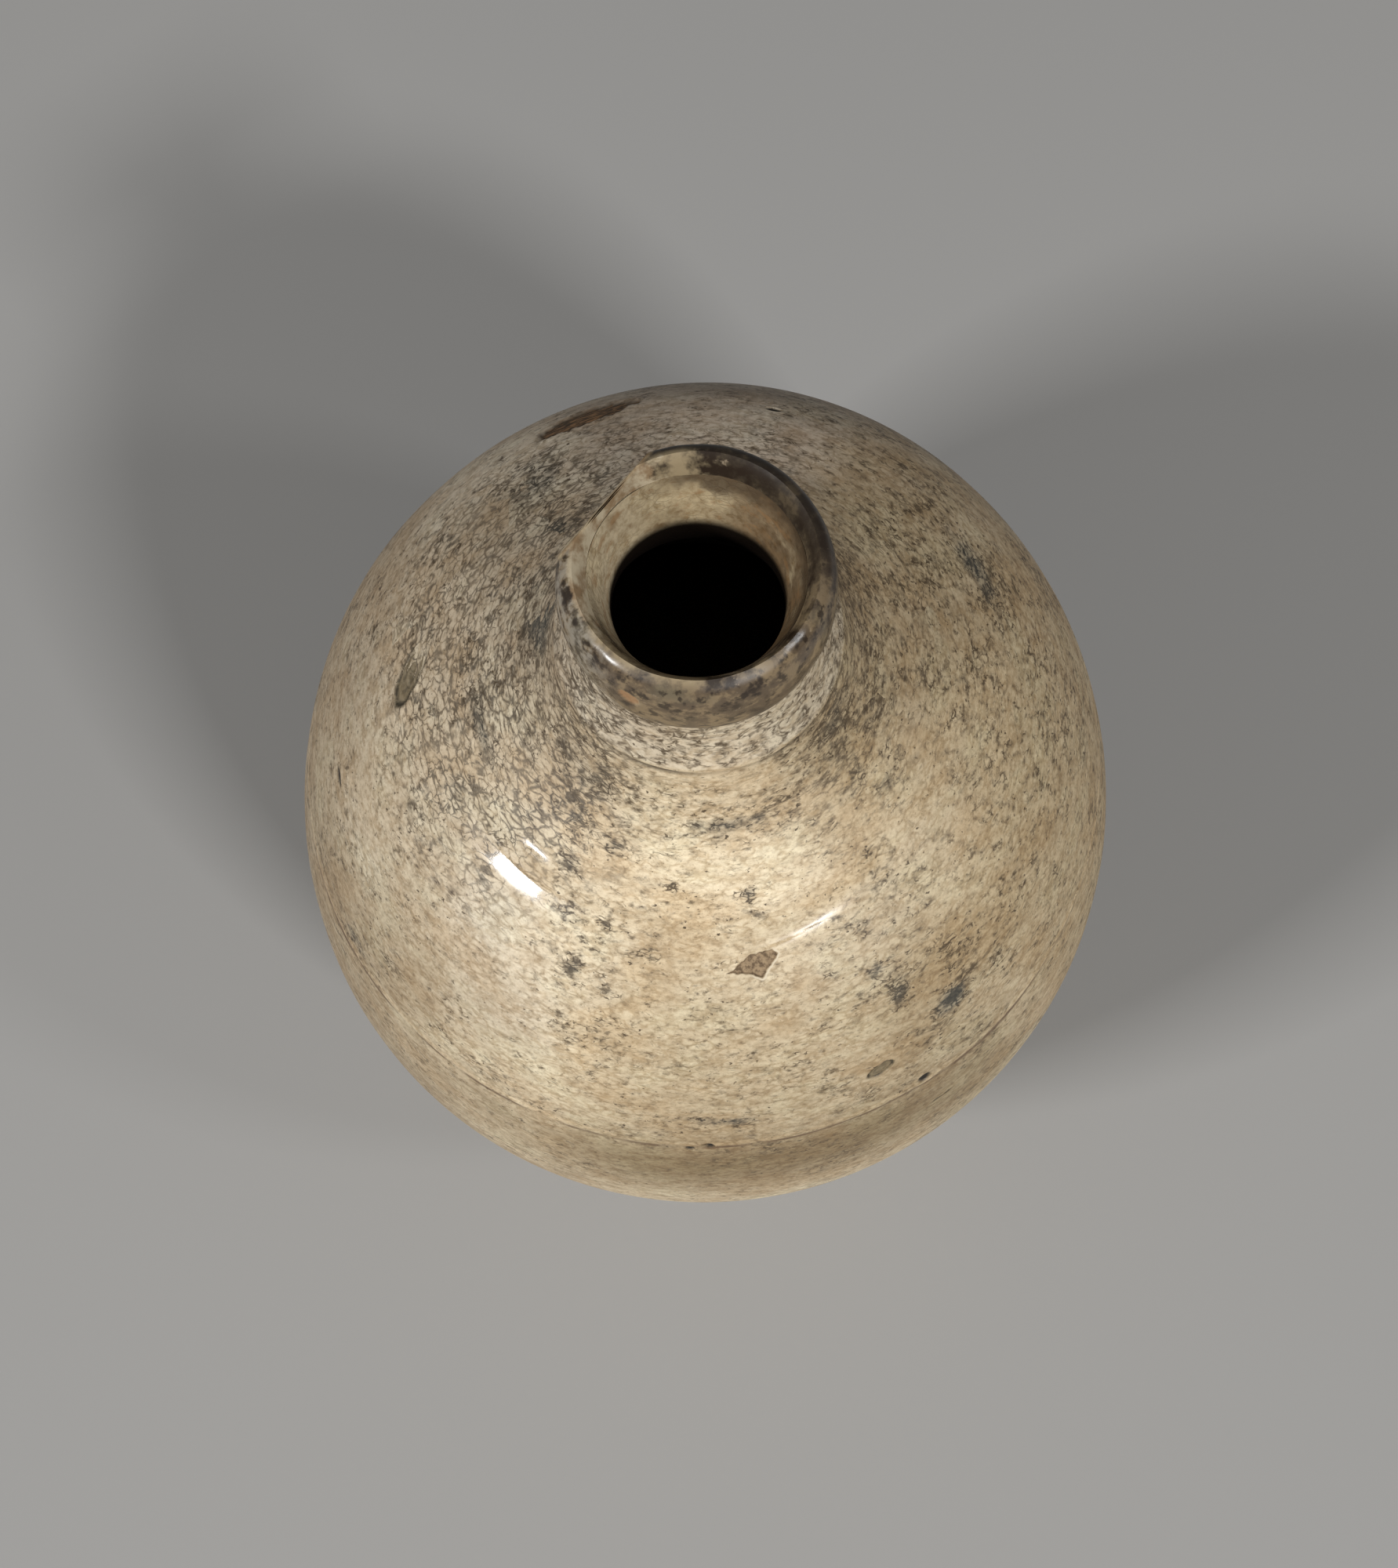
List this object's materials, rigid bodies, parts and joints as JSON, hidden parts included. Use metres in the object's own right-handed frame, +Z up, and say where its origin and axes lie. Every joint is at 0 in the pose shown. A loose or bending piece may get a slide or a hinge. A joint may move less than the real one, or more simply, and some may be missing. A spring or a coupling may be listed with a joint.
{
  "type": "bottle vase",
  "caption": "Globular stoneware bottle vase with a flared neck, a rolled iron-brown lip and cream crackle glaze, standing on a turned foot ring; holds water and a stem.",
  "frame": {"origin": "centre of the foot ring's underside, on the surface that the vase stands on", "axes": "+Z up along the axis of the pot; -Y towards the side that shows its front"},
  "size_m": [0.1558, 0.1558, 0.1921],
  "materials": {
    "clay": "bare fired stoneware, matt and slightly sandy",
    "slip": "fired clay slip, matt",
    "cream_glaze": "glossy cream crackle glaze with grey-stained craze lines",
    "brown_glaze": "glossy mottled iron-brown glaze, worn to tan in places"
  },
  "bodies": {
    "root": {"foot_ring": "clay", "foot_luting_slip": "slip", "lower_body": "clay", "belly_luting_slip": "slip", "upper_body": "clay", "neck_luting_slip": "slip", "neck": "clay", "lip": "clay", "outer_glaze": "cream_glaze", "lip_glaze": "brown_glaze", "mouth_glaze": "cream_glaze"}
  },
  "joints": []
}
